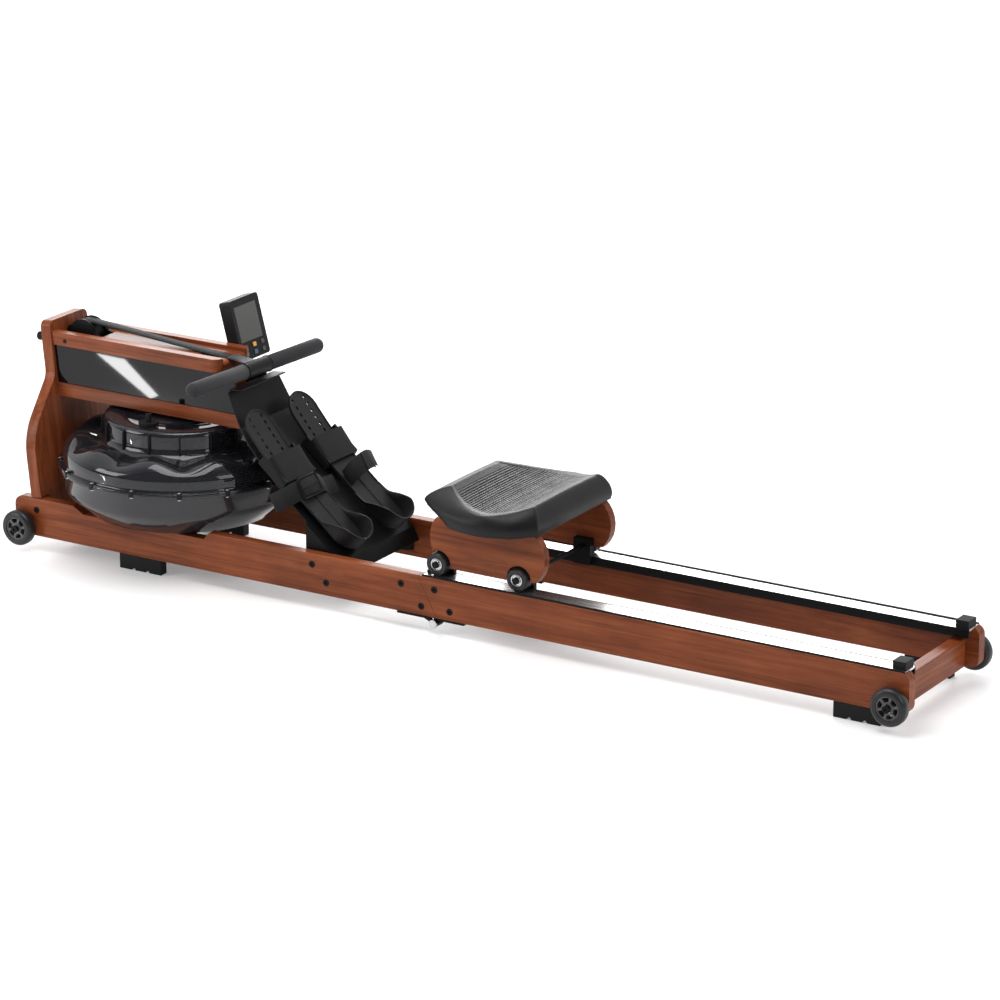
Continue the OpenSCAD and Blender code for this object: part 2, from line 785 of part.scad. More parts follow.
module tracks() {
    x0 = joint_top_x + 9;
    x1 = rail_len - 12;
    low = rail_top + 0.1;
    color("#c9ccd0") place() both_sides() yz_slab(x0, x1 - x0) polygon([
        [track_in, low - 16], [track_in + 3, low - 16], [track_in + 3, low - 3], [rail_in - gap, low - 3],
        [rail_in - gap, low], [rail_y - 2, low], [rail_y - 2, track_top + 2], [rail_y - 4, track_top + 2],
        [rail_y - 4, track_top], [track_in, track_top]]);
}
module track_stops() {
    color(dark) place() both_sides() {
        translate([2058, track_in + 3, track_top + 0.1]) cube([28, 34, 16]);
        translate([1017, track_in + 6, track_top + 0.1]) cube([7, 22, 7]);
    }
}
module seat_pad() {
    w = pad_half;
    dish = 300;
    plan = [[pad_x0, w - 65], [1022, w - 43], [1050, w - 27], [1105, w - 5], [1165, w], [1222, w - 8],
        [1262, w - 25], [pad_x1, w - 42]];
    color(dark) place() difference() {
        intersection() {
            xz_slab(-w, 2 * w) polygon([[pad_x0 + 8, 258], [pad_x0, 274], [pad_x0 + 12, 282],
                [pad_x0 + 52, 290], [1180, 288], [1240, pad_top], [1256, pad_top - 4],
                [pad_x1, pad_low + 8], [1262, pad_low], [1040, pad_low]]);
            translate([0, 0, 200]) linear_extrude(120)
                polygon(concat(plan, [for (i = [len(plan) - 1:-1:0]) [plan[i][0], -plan[i][1]]]));
        }
        translate([1155, w + 10, 269 + dish]) rotate([90, 0, 0])
            cylinder(r = dish, h = 2 * w + 20, $fn = 360);
    }
}

// Wooden side plates, cut out round the rollers
module seat_sides() {
    side_y = 120;
    top = pad_low - gap;
    color(wood) place() both_sides() difference() {
        xz_slab(side_y, 20) polygon(concat(
            [[1050, 134], [1030, 148]], arc(1086, 196, 64, 195, 141), arc(1222, 186, 66, 51, -45, 8),
            [[1212, 134]]));
        for (x = [roller_front_x, roller_rear_x]) {
            y_rod(x, side_y + 4, roller_z, roller_r + 4, 40);
            y_rod(x, side_y - 1, roller_z, axle_r + 0.1, 40);
        }
        translate([roller_front_x - 60, 100, top]) cube([roller_base + 160, 60, 60]);
    }
}

// Cross bars under the pad, axles, and guide blocks beside the tracks' inner flanges
module seat_brackets() {
    guide_y = track_in - 9;
    color(dark) place() {
        for (x = [roller_front_x + 30, roller_rear_x - 30])
            translate([x - 15, -119.7, pad_low - 5]) cube([30, 239.4, 4.7]);
        for (x = [roller_front_x, roller_rear_x]) {
            y_rod(x, -roller_y - roller_w - 4, roller_z, axle_r, 2 * (roller_y + roller_w + 4));
            both_sides() {
                translate([x - 20, guide_y - 2, 102]) cube([40, 10.6, 40]);
                translate([x - 20, guide_y, 126]) cube([40, 119.7 - guide_y, 30]);
                y_rod(x, roller_y + roller_w + 1, roller_z, 7, 4);
            }
        }
    }
}
module seat_roller(x) {
    color(dark) place() both_sides() difference() {
        union() {
            y_rod(x, roller_y + 0.5, roller_z, roller_r, roller_w - 1);
            y_rod(x, roller_y + 0.5, roller_z, 11, roller_w);
        }
        y_rod(x, roller_y - 2, roller_z, axle_r + 0.05, roller_w + 10);
    }
}
module seat_rollers_front() { seat_roller(roller_front_x); }
module seat_rollers_rear() { seat_roller(roller_rear_x); }

// ---- Transport wheels ----

// Wheel with a round tyre and a slotted hub, outside the right-hand rail
module transport_wheel(x) {
    half = wheel_w / 2;
    y = rail_y + 5.2 + half;
    bore = axle_r + 0.05;
    tread = 12;
    difference() {
        translate([x, y, wheel_z]) rotate([90, 0, 0]) rotate_extrude() polygon(concat(
            [[bore, 0.5 - half], [11, 0.5 - half], [11, 3 - half], [23, 3 - half], [24, -half]],
            arc(wheel_r - tread, 0, tread, -75, 75),
            [[24, half], [23, half - 3], [11, half - 3], [11, half], [bore, half]]));
        for (i = [0:5]) translate([x, y, wheel_z]) rotate([90, 0, 0]) rotate([0, 0, i * 60])
            translate([17, 0, -half]) cylinder(r = 3.2, h = 2 * half);
    }
}
module front_wheel_right() { color(dark) place() transport_wheel(front_wheel_x); }
module front_wheel_left() { color(dark) mirror([0, 1, 0]) place() transport_wheel(front_wheel_x); }
module rear_wheel_right() { color(dark) place() transport_wheel(rear_wheel_x); }
module rear_wheel_left() { color(dark) mirror([0, 1, 0]) place() transport_wheel(rear_wheel_x); }

front_rail_left();
front_rail_right();
front_post();
top_beam_left();
top_beam_right();
lower_beams();
deck();
rear_block();
side_panels();
front_bolts();
front_feet();
tank_lower_shell();
tank_upper_shell();
tank_bolts();
fill_plug();
impeller();
bearing_bridge();
recoil_housing();
strap_spool();
pulley_bracket();
front_pulley();
inner_strap();
pull_strap();
strap_clip();
handle_bar();
handle_grips();
handle_sleeve();
footboard();
foot_bases();
foot_slider_left();
foot_slider_right();
toe_straps();
monitor_bracket();
monitor_housing();
monitor_lens();
power_button();
mode_button();
set_button();
reset_button();
up_button();
down_button();
front_hinge_leaves();
hinge_pins();
rear_hinge_leaves();
rear_rail_left();
rear_rail_right();
rear_crosspiece();
tracks();
track_stops();
rear_bolts();
rear_feet();
seat_pad();
seat_sides();
seat_brackets();
seat_rollers_front();
seat_rollers_rear();
front_wheel_left();
front_wheel_right();
rear_wheel_left();
rear_wheel_right();
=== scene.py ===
"""Looks of the folding water rowing machine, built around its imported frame. Everything is in metres."""
import math

import bmesh
import bpy
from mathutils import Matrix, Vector


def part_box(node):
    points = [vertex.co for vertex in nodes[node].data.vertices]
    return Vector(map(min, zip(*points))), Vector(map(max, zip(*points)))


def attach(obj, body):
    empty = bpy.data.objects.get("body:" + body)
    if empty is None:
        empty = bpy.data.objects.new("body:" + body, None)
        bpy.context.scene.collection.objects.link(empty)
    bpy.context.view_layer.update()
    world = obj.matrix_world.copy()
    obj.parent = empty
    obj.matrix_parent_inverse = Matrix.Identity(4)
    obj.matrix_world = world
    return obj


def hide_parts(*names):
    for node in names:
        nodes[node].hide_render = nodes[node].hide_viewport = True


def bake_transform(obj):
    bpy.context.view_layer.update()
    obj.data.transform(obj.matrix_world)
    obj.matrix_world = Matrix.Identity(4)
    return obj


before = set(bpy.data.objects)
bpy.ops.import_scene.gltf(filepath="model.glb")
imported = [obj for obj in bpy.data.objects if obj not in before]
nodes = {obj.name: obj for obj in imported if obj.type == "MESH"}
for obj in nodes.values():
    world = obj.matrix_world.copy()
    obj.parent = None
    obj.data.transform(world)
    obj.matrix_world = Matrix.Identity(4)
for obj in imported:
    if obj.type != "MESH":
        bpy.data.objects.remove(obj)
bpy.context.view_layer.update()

# Millimetres along the machine, up or across, as the frame was drawn
FRONT_END = 1045.5
TANK_X = 320
BOARD_TOP = (538, 330)
BOARD_SLOPE = 40.6
FOOT_Y = 78
SOLE_R = 43
SOLE_TOE = 30
SOLE_HEEL = 303
STRAP_SLOPE = 4.6
HANDLE_YAW = 4
TRACK_IN = 115
RIB_PITCH = 6.6
GRIP_R = 16
MONITOR_FOOT = (432, 117, 413)
MONITOR_LEAN = 14.6

# Metres
ROLLER_IN = 0.1245

# ---- Camera, light and floor ----


def add_camera():
    """The viewpoint: seen from the rower's left, a little above, through a long lens."""
    data = bpy.data.cameras.new("camera")
    data.lens = 158.4
    data.sensor_width = 36.0
    data.clip_end = 100.0
    camera = bpy.data.objects.new("camera", data)
    camera.location = (4.4428, -7.1541, 2.9765)
    camera.rotation_euler = (math.radians(90 - 18.0304), 0, math.radians(31.5248))
    bpy.context.scene.collection.objects.link(camera)
    bpy.context.scene.camera = camera


def add_area_light(name, location, target, size, power, height=None):
    """A soft light that shines from location at target: square, or as high as height."""
    data = bpy.data.lights.new(name, "AREA")
    data.energy = power
    data.shape = "RECTANGLE"
    data.size = size
    data.size_y = height or size
    light = bpy.data.objects.new(name, data)
    light.location = location
    light.rotation_euler = (Vector(target) - Vector(location)).to_track_quat("-Z", "Y").to_euler()
    bpy.context.scene.collection.objects.link(light)


def add_world():
    """White studio: bright behind the machine and overhead, dimmer behind the camera."""
    world = bpy.data.worlds.new("studio")
    world.use_nodes = True
    tree = world.node_tree
    where = tree.nodes.new("ShaderNodeTexCoord").outputs["Generated"]
    aim = tree.nodes.new("ShaderNodeVectorMath")
    aim.operation = "DOT_PRODUCT"
    tree.links.new(where, aim.inputs[0])
    aim.inputs[1].default_value = (-0.45, 0.75, 0.48)
    ramp = tree.nodes.new("ShaderNodeValToRGB")
    ramp.color_ramp.elements[0].position = 0.0
    ramp.color_ramp.elements[0].color = (0.22, 0.22, 0.23, 1.0)
    ramp.color_ramp.elements[1].position = 0.55
    ramp.color_ramp.elements[1].color = (1.0, 1.0, 1.0, 1.0)
    tree.links.new(aim.outputs["Value"], ramp.inputs["Fac"])
    tree.links.new(ramp.outputs["Color"], tree.nodes["Background"].inputs["Color"])
    tree.nodes["Background"].inputs["Strength"].default_value = 1.0
    bpy.context.scene.world = world
    bpy.context.scene.view_settings.view_transform = "Standard"


def add_lights():
    """Soft boxes overhead, beside each end and behind."""
    add_area_light("overhead", (-0.2, -0.4, 2.6), (-0.2, 0, 0.2), 1.8, 44)
    add_area_light("front_left", (-2.6, -2.2, 1.5), (-0.4, 0, 0.25), 1.4, 34)
    add_area_light("right", (2.4, -0.6, 1.2), (0.6, 0, 0.2), 1.2, 12)
    add_area_light("behind", (-2.1, 3.3, 1.6), (-0.1, 0, 0.3), 3.0, 70, 1.2)


def add_card():
    """A small bright card beside the machine, whose slanted reflection crosses the side panel."""
    distance = -0.91
    corners = [(-1.541, 0.114), (-1.460, 0.112), (-1.366, 0.038), (-1.389, 0.027)]
    mesh = bpy.data.meshes.new("card")
    mesh.from_pydata([(x, distance, z) for x, z in corners], [], [(0, 1, 2, 3)])
    glow = material("card_light", (0, 0, 0), emission_color=(1, 1, 1, 1), emission_strength=34.0)
    mesh.materials.append(glow)
    card = bpy.data.objects.new("card", mesh)
    card.visible_camera = False
    bpy.context.scene.collection.objects.link(card)


def add_floor():
    """A white floor that glows with painted light: less near the machine, as painted shade that deepens its
    shadows there, and a little more away from it, so that no edge shows.
    """
    bm = bmesh.new()
    bmesh.ops.create_grid(bm, x_segments=1, y_segments=1, size=30.0)
    mesh = bpy.data.meshes.new("floor")
    bm.to_mesh(mesh)
    bm.free()
    floor = bpy.data.objects.new("floor", mesh)
    floor.location = (0, 0, -0.0005)
    bpy.context.scene.collection.objects.link(floor)
    white = material("floor_white", (0.8, 0.8, 0.8), roughness=0.5, emission_color=(1, 1, 1, 1))
    n = Nodes(white)
    # Painted light: the floor's glow grows with distance from the machine, so it is dimmer near it as painted
    # shade.
    distance = n.add("ShaderNodeVectorMath", {0: n.place((1, 1, 1))}, operation="LENGTH").outputs["Value"]
    n.feed("Emission Strength", n.ramp(n.math("DIVIDE", distance, 6.0), [(0.2, 0.24), (0.6, 0.5)]))
    mesh.materials.append(white)


# ---- Materials ----


def material(name, base, **values):
    """A Principled material with one colour; each value goes on the shader's own socket."""
    made = bpy.data.materials.new(name)
    made.use_nodes = True
    shader = made.node_tree.nodes["Principled BSDF"]
    shader.inputs["Base Color"].default_value = (*base, 1.0)
    for key, value in values.items():
        shader.inputs[key.replace("_", " ").title().replace("Ior", "IOR")].default_value = value
    return made


class Nodes:
    """Short ways to add shader nodes to a material."""

    def __init__(self, made):
        self.tree = made.node_tree
        self.shader = self.tree.nodes["Principled BSDF"]

    def add(self, kind, inputs=None, **settings):
        node = self.tree.nodes.new(kind)
        for key, value in settings.items():
            setattr(node, key, value)
        for key, value in (inputs or {}).items():
            if isinstance(value, bpy.types.NodeSocket):
                self.tree.links.new(value, node.inputs[key])
            else:
                node.inputs[key].default_value = value
        return node

    def place(self, scale):
        """The object's own coordinates, stretched."""
        where = self.add("ShaderNodeTexCoord").outputs["Object"]
        return self.add("ShaderNodeMapping", {"Vector": where, "Scale": scale}).outputs["Vector"]

    def noise(self, vector, scale, detail=4.0, roughness=0.5, distortion=0.0):
        values = {"Vector": vector, "Scale": scale, "Detail": detail, "Roughness": roughness,
                  "Distortion": distortion}
        return self.add("ShaderNodeTexNoise", values).outputs["Fac"]

    def ramp(self, value, stops):
        """Colours or greys at places from 0 to 1."""
        node = self.add("ShaderNodeValToRGB", {"Fac": value})
        elements = node.color_ramp.elements
        while len(elements) < len(stops):
            elements.new(0.5)
        for element, (place, colour) in zip(elements, stops):
            element.position = place
            element.color = (*colour, 1.0) if isinstance(colour, tuple) else (colour, colour, colour, 1.0)
        return node.outputs["Color"]

    def mix(self, amount, a, b, blend="MIX"):
        node = self.add("ShaderNodeMix", data_type="RGBA", blend_type=blend)
        for index, value in ((0, amount), (6, a), (7, b)):
            if isinstance(value, bpy.types.NodeSocket):
                self.tree.links.new(value, node.inputs[index])
            elif isinstance(value, tuple):
                node.inputs[index].default_value = (*value, 1.0)
            else:
                node.inputs[index].default_value = value
        return node.outputs[2]

    def math(self, operation, a, b):
        node = self.add("ShaderNodeMath", operation=operation)
        for index, value in enumerate((a, b)):
            if isinstance(value, bpy.types.NodeSocket):
                self.tree.links.new(value, node.inputs[index])
            else:
                node.inputs[index].default_value = value
        return node.outputs[0]

    def feed(self, socket, output):
        self.tree.links.new(output, self.shader.inputs[socket])

    def bump(self, height, strength, distance):
        values = {"Height": height, "Strength": strength, "Distance": distance}
        self.feed("Normal", self.add("ShaderNodeBump", values).outputs["Normal"])


def wood(name, grain, lightness=1.0):
    """Reddish-brown stained hardwood with its grain along axis 0, 1 or 2."""
    made = material(name, (0.2, 0.07, 0.035), coat_weight=0.2, coat_roughness=0.24, specular_ior_level=0.08)
    n = Nodes(made)
    stretch = [16.0, 16.0, 16.0]
    stretch[grain] = 1.0
    fine = [130.0, 130.0, 130.0]
    fine[grain] = 3.0
    tones = [tuple(channel * lightness for channel in tone) for tone in
             ((0.118, 0.026, 0.008), (0.190, 0.045, 0.014), (0.242, 0.062, 0.020), (0.310, 0.090, 0.031))]
    figure = n.noise(n.place(stretch), 2.4, 6.0, 0.62, 0.9)
    body = n.ramp(figure, [(0.28, tones[0]), (0.44, tones[1]), (0.58, tones[2]), (0.76, tones[3])])
    mottle = n.ramp(n.noise(n.place((1, 1, 1)), 9.0, 3.0), [(0.3, 0.8), (0.7, 1.08)])
    body = n.mix(1.0, body, mottle, "MULTIPLY")
    streaks = n.noise(n.place(fine), 2.0, 5.0, 0.7)
    body = n.mix(1.0, body, n.ramp(streaks, [(0.32, 0.66), (0.5, 1.0), (0.75, 1.12)]), "MULTIPLY")
    n.feed("Base Color", body)
    n.feed("Roughness", n.ramp(streaks, [(0.3, 0.5), (0.7, 0.36)]))
    n.bump(streaks, 0.12, 0.0006)
    return made


def grained(name, base, roughness, scale, strength, distance=0.0004, spread=0.06, **values):
    """Plastic, paint or rubber with a fine moulded grain and slightly uneven gloss."""
    made = material(name, base, **values)
    n = Nodes(made)
    place = n.place((1, 1, 1))
    grain = n.noise(place, scale, 3.0, 0.6)
    uneven = n.noise(place, 14.0, 4.0)
    n.feed("Roughness", n.ramp(uneven, [(0.3, roughness - spread), (0.7, roughness + spread)]))
    tint = tuple(channel * 1.35 for channel in base)
    n.feed("Base Color", n.ramp(grain, [(0.35, base), (0.75, tint)]))
    n.bump(grain, strength, distance)
    return made


def webbing(name, base):
    """Tightly woven synthetic strap."""
    made = material(name, base, roughness=0.7, sheen_weight=0.05, specular_ior_level=0.18)
    n = Nodes(made)
    place = n.place((1, 1, 1))
    waves = []
    for direction in ("X", "Y", "Z"):
        values = {"Vector": place, "Scale": 330.0, "Distortion": 0.0}
        waves.append(n.add("ShaderNodeTexWave", values, bands_direction=direction).outputs["Fac"])
    weave = n.math("MULTIPLY", n.math("ADD", waves[0], waves[2]), waves[1])
    low, high = tuple(c * 0.6 for c in base), tuple(c * 1.5 for c in base)
    n.feed("Base Color", n.ramp(weave, [(0.1, low), (1.0, high)]))
    n.bump(weave, 0.3, 0.0004)
    return made


def brushed(name, base, roughness, axis=0):
    """Metal brushed or drawn along one axis."""
    made = material(name, base, metallic=1.0)
    n = Nodes(made)
    stretch = [260.0, 260.0, 260.0]
    stretch[axis] = 4.0
    lines = n.noise(n.place(stretch), 2.0, 4.0, 0.6)
    n.feed("Roughness", n.ramp(lines, [(0.3, roughness - 0.08), (0.7, roughness + 0.08)]))
    n.feed("Base Color", n.ramp(lines, [(0.3, tuple(c * 0.92 for c in base)), (0.7, base)]))
    n.bump(lines, 0.06, 0.0002)
    return made


WOOD_X = wood("wood_along_x", 0)
WOOD_Y = wood("wood_along_y", 1)
WOOD_Z = wood("wood_along_z", 2)
STEEL_BLACK = grained("black_powder_coat", (0.005, 0.005, 0.0055), 0.36, 900.0, 0.18,
                      specular_ior_level=0.11)
PLASTIC_BLACK = grained("black_plastic", (0.009, 0.009, 0.01), 0.4, 1400.0, 0.15, specular_ior_level=0.14)
RUBBER = grained("rubber", (0.009, 0.009, 0.01), 0.6, 500.0, 0.2, specular_ior_level=0.16)
FOAM = grained("grip_foam", (0.024, 0.024, 0.026), 0.7, 900.0, 0.4, 0.0006, sheen_weight=0.06,
               specular_ior_level=0.2)
PANEL = material("gloss_panel", (0.004, 0.004, 0.005), roughness=0.03, specular_ior_level=0.26)
TRACK = brushed("track_aluminium", (0.80, 0.80, 0.81), 0.3)
ZINC = brushed("zinc_steel", (0.32, 0.33, 0.35), 0.34)
STEEL = brushed("bright_steel", (0.62, 0.62, 0.64), 0.26, axis=1)
WEBBING = webbing("black_webbing", (0.011, 0.011, 0.012))
LENS = material("display_glass", (0.1, 0.103, 0.094), roughness=0.2, specular_ior_level=0.2)
KEY_DARK = grained("key_dark", (0.045, 0.045, 0.05), 0.4, 1400.0, 0.1)
KEY_ORANGE = grained("key_orange", (0.72, 0.34, 0.05), 0.4, 1400.0, 0.1)
KEY_BLUE = grained("key_blue", (0.05, 0.11, 0.2), 0.4, 1400.0, 0.1)
SEAT_SKIN = grained("seat_skin", (0.006, 0.006, 0.007), 0.42, 900.0, 0.3, 0.0005, specular_ior_level=0.22)
SMOKE = material("smoked_polycarbonate", (0.1, 0.104, 0.125), roughness=0.03, transmission_weight=0.9,
                 ior=1.5)
TYRE = grained("tyre", (0.013, 0.013, 0.014), 0.34, 700.0, 0.12, specular_ior_level=0.35)
HUB_GREY = grained("hub_grey", (0.07, 0.07, 0.073), 0.4, 1400.0, 0.1)
SOLE_GREY = grained("sole_grey", (0.012, 0.012, 0.013), 0.45, 1100.0, 0.2, specular_ior_level=0.16)
RUBBER_BAND = grained("rubber_band", (0.009, 0.009, 0.01), 0.5, 900.0, 0.25, specular_ior_level=0.15)
SMOKE_BOWL = material("smoked_bowl", (0.03, 0.03, 0.034), roughness=0.1, transmission_weight=0.25, ior=1.5)

FINISH = {
    WOOD_X: ("front_rail_left", "front_rail_right", "rear_rail_left", "rear_rail_right", "top_beam_left",
             "top_beam_right", "lower_beams", "deck", "seat_sides"),
    WOOD_Y: ("rear_crosspiece", "rear_block"),
    WOOD_Z: ("front_post",),
    STEEL_BLACK: ("front_bolts", "rear_bolts", "pulley_bracket", "footboard", "monitor_bracket",
                  "front_hinge_leaves", "rear_hinge_leaves", "seat_brackets"),
    PLASTIC_BLACK: ("fill_plug", "impeller", "recoil_housing", "strap_spool", "front_pulley",
                    "handle_sleeve", "foot_bases", "foot_slider_left", "foot_slider_right",
                    "monitor_housing"),
    RUBBER: ("front_feet", "rear_feet", "track_stops"),
    FOAM: ("handle_grips",),
    PANEL: ("side_panels",),
    TRACK: ("tracks",),
    ZINC: ("bearing_bridge", "strap_clip"),
    STEEL: ("tank_bolts", "handle_bar", "hinge_pins"),
    WEBBING: ("inner_strap", "pull_strap", "toe_straps"),
    LENS: ("monitor_lens",),
    KEY_DARK: ("power_button", "set_button", "reset_button", "down_button"),
    KEY_ORANGE: ("mode_button",),
    KEY_BLUE: ("up_button",),
    SEAT_SKIN: ("seat_pad",),
    SMOKE: ("tank_lower_shell", "tank_upper_shell"),
    TYRE: ("seat_rollers_front", "seat_rollers_rear", "front_wheel_left", "front_wheel_right",
           "rear_wheel_left", "rear_wheel_right"),
}


def finish_nodes():
    """Gives each CAD node its material."""
    for made, names in FINISH.items():
        for name in names:
            slots = nodes[name].data.materials
            slots.clear()
            slots.append(made)


def round_edges(names, width, segments=3, angle=32.0):
    """Rounds the sharp edges of CAD nodes with modifiers, which leave their meshes as they are."""
    for name in names:
        item = nodes[name]
        weld = item.modifiers.new("weld", "WELD")
        weld.merge_threshold = 0.00001
        flat = item.modifiers.new("flat", "DECIMATE")
        flat.decimate_type = "DISSOLVE"
        flat.angle_limit = math.radians(0.6)
        bevel = item.modifiers.new("bevel", "BEVEL")
        bevel.width = width
        bevel.segments = segments
        bevel.limit_method = "ANGLE"
        bevel.angle_limit = math.radians(angle)
        bevel.use_clamp_overlap = True
        item.modifiers.new("normals", "WEIGHTED_NORMAL").keep_sharp = True


# ---- Shapes ----


def at(x, y, z):
    """A point in metres, from millimetres along the machine from its front end, across and up."""
    return Vector(((x - FRONT_END) / 1000, y / 1000, z / 1000))


def on_board(x, y, z):
    """A point in metres, from millimetres down the sloping footboard, across it and out from it."""
    slope = math.radians(BOARD_SLOPE)
    return at(BOARD_TOP[0] + x * math.cos(slope) + z * math.sin(slope), y,
              BOARD_TOP[1] - x * math.sin(slope) + z * math.cos(slope))


def smooth(value, low, high):
    """0 below low, 1 above high, and an S curve between them."""
    t = min(1.0, max(0.0, (value - low) / (high - low)))
    return t * t * (3 - 2 * t)


def between(value, points):
    """A height read off a smooth curve through (place, height) points, which never overshoots them."""
    slopes = [(y1 - y0) / (x1 - x0) for (x0, y0), (x1, y1) in zip(points, points[1:])]
    leans = [2 * a * b / (a + b) if a * b > 0 else 0.0 for a, b in zip(slopes, slopes[1:])]
    leans = [slopes[0]] + leans + [slopes[-1]]
    for (x0, y0), (x1, y1), lean0, lean1 in zip(points, points[1:], leans, leans[1:]):
        if value <= x1:
            t = max(0.0, (value - x0) / (x1 - x0))
            rise = (x1 - x0) * t * (1 - t) * (lean0 * (1 - t) - lean1 * t)
            return y0 + (y1 - y0) * t * t * (3 - 2 * t) + rise
    return points[-1][1]


class Shape:
    """A mesh that is being built, in metres."""

    def __init__(self):
        self.points = []
        self.faces = []

    def skin(self, rings, loop=False, caps=True):
        """A surface through closed rings of equally many points."""
        first, count = len(self.points), len(rings[0])
        for ring in rings:
            self.points.extend(ring)
        spans = len(rings) if loop else len(rings) - 1
        for i in range(spans):
            here, there = first + i * count, first + (i + 1) % len(rings) * count
            for j in range(count):
                k = (j + 1) % count
                self.faces.append((here + j, here + k, there + k, there + j))
        if caps and not loop:
            self.faces.append(tuple(first + j for j in reversed(range(count))))
            self.faces.append(tuple(first + (len(rings) - 1) * count + j for j in range(count)))
        return self

    def lathe(self, centre, axis, profile, steps=96):
        """A closed profile of (radius, height) points in millimetres, turned about an axis."""
        turn = Vector(axis).normalized().to_track_quat("Z", "Y")
        rings = []
        for i in range(steps):
            angle = math.tau * i / steps
            rings.append([centre + turn @ Vector((r * math.cos(angle), r * math.sin(angle), h)) / 1000
                          for r, h in profile])
        return self.skin(rings, loop=True)

    def sheet(self, top, bottom):
        """A closed slab between two grids of points with the same rows and columns."""
        first, rows, columns = len(self.points), len(top), len(top[0])
        for grid in (top, bottom):
            for row in grid:
                self.points.extend(row)
        other = first + rows * columns
        for i in range(rows - 1):
            for j in range(columns - 1):
                a = i * columns + j
                b, c, d = a + 1, a + columns + 1, a + columns
                self.faces.append((first + a, first + b, first + c, first + d))
                self.faces.append((other + d, other + c, other + b, other + a))
        edge = [(0, j) for j in range(columns)] + [(i, columns - 1) for i in range(1, rows)]
        edge += [(rows - 1, j) for j in reversed(range(columns - 1))]
        edge += [(i, 0) for i in reversed(range(1, rows - 1))]
        for (i0, j0), (i1, j1) in zip(edge, edge[1:] + edge[:1]):
            a, b = i0 * columns + j0, i1 * columns + j1
            self.faces.append((first + b, first + a, other + a, other + b))
        return self

    def wire(self, path, radius, closed=False, steps=12):
        """A round wire along a path of points in metres, its radius in millimetres."""
        rings = []
        count = len(path)
        for i, point in enumerate(path):
            before = path[i - 1] if closed or i else point
            after = path[(i + 1) % count] if closed or i < count - 1 else point
            turn = (after - before).to_track_quat("Z", "Y")
            rings.append([point + turn @ Vector((math.cos(t), math.sin(t), 0)) * radius / 1000
                          for t in (math.tau * k / steps for k in range(steps))])
        return self.skin(rings, loop=closed)

    def strap(self, path, across, width, thick, edge=0.8):
        """A flat strap along a path of points in metres; across is the direction of its width."""
        rings = []
        side = Vector(across).normalized()
        half, depth = width / 2000, thick / 2000
        cut = edge / 1000
        section = [(-half, -depth + cut), (-half, depth - cut), (cut - half, depth), (half - cut, depth),
                   (half, depth - cut), (half, cut - depth), (half - cut, -depth), (cut - half, -depth)]
        for i, point in enumerate(path):
            along = (path[min(i + 1, len(path) - 1)] - path[max(i - 1, 0)]).normalized()
            out = along.cross(side).normalized()
            rings.append([point + side * a + out * b for a, b in section])
        return self.skin(rings)

    def prism(self, outline, x0, x1):
        """An outline of (y, z) points in millimetres, drawn out along the machine."""
        return self.skin([[at(x, y, z) for y, z in outline] for x in (x0, x1)])

    def piece(self, name, made, body, slot_name, sharp=35, bevel=0.0, stands_for=()):
        """Makes the mesh an object that rides on a body."""
        mesh = bpy.data.meshes.new(name)
        mesh.from_pydata([tuple(p) for p in self.points], [], self.faces)
        bm = bmesh.new()
        bm.from_mesh(mesh)
        bmesh.ops.remove_doubles(bm, verts=bm.verts, dist=0.000005)
        bmesh.ops.recalc_face_normals(bm, faces=bm.faces)
        bm.to_mesh(mesh)
        bm.free()
        mesh.shade_smooth()
        mesh.set_sharp_from_angle(angle=math.radians(sharp))
        mesh.materials.append(made)
        item = bpy.data.objects.new(name, mesh)
        bpy.context.scene.collection.objects.link(item)
        if bevel:
            modifier = item.modifiers.new("bevel", "BEVEL")
            modifier.width = bevel
            modifier.segments = 2
            modifier.limit_method = "ANGLE"
            modifier.angle_limit = math.radians(sharp)
            modifier.use_clamp_overlap = True
            item.modifiers.new("normals", "WEIGHTED_NORMAL").keep_sharp = True
        if body:
            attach(item, body)
        if stands_for:
            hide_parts(*stands_for)
        return item


def curve(points, steps=8):
    """Points in metres along a smooth curve through the given ones."""
    out = []
    for i in range(len(points) - 1):
        p0, p1 = points[max(i - 1, 0)], points[i]
        p2, p3 = points[i + 1], points[min(i + 2, len(points) - 1)]
        for k in range(steps):
            t = k / steps
            out.append(0.5 * (2 * p1 + (p2 - p0) * t + (2 * p0 - 5 * p1 + 4 * p2 - p3) * t * t
                              + (3 * p1 - p0 - 3 * p2 + p3) * t ** 3))
    return out + [points[-1]]


def centre_of(node):
    """The middle of a node's box."""
    low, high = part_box(node)
    return (low + high) / 2


# ---- Tank ----

LOBES = 10


def shoulder(angle, radius, height):
    """Height of the tank's shoulder, with raised lobes and hollows between them."""
    ridge = (0.5 + 0.5 * math.cos(LOBES * angle)) ** 0.75
    weight = smooth(radius, 168, 196) * (1 - smooth(radius, 226, 246))
    return height + weight * (14 * ridge - 5)


def tank_ring(angle, outline, lobed=False):
    """An outline of (radius, height) points in millimetres, stood up at an angle round the tank."""
    out = []
    for r, z in outline:
        z = shoulder(angle, r, z) if lobed else z
        out.append(at(TANK_X, 0, z) + Vector((math.cos(angle), math.sin(angle), 0)) * r / 1000)
    return out


def turned(outline, steps, lobed=False):
    """An outline turned once round the tank's axis."""
    rings = [tank_ring(math.tau * i / steps, outline, lobed) for i in range(steps)]
    return Shape().skin(rings, loop=True)


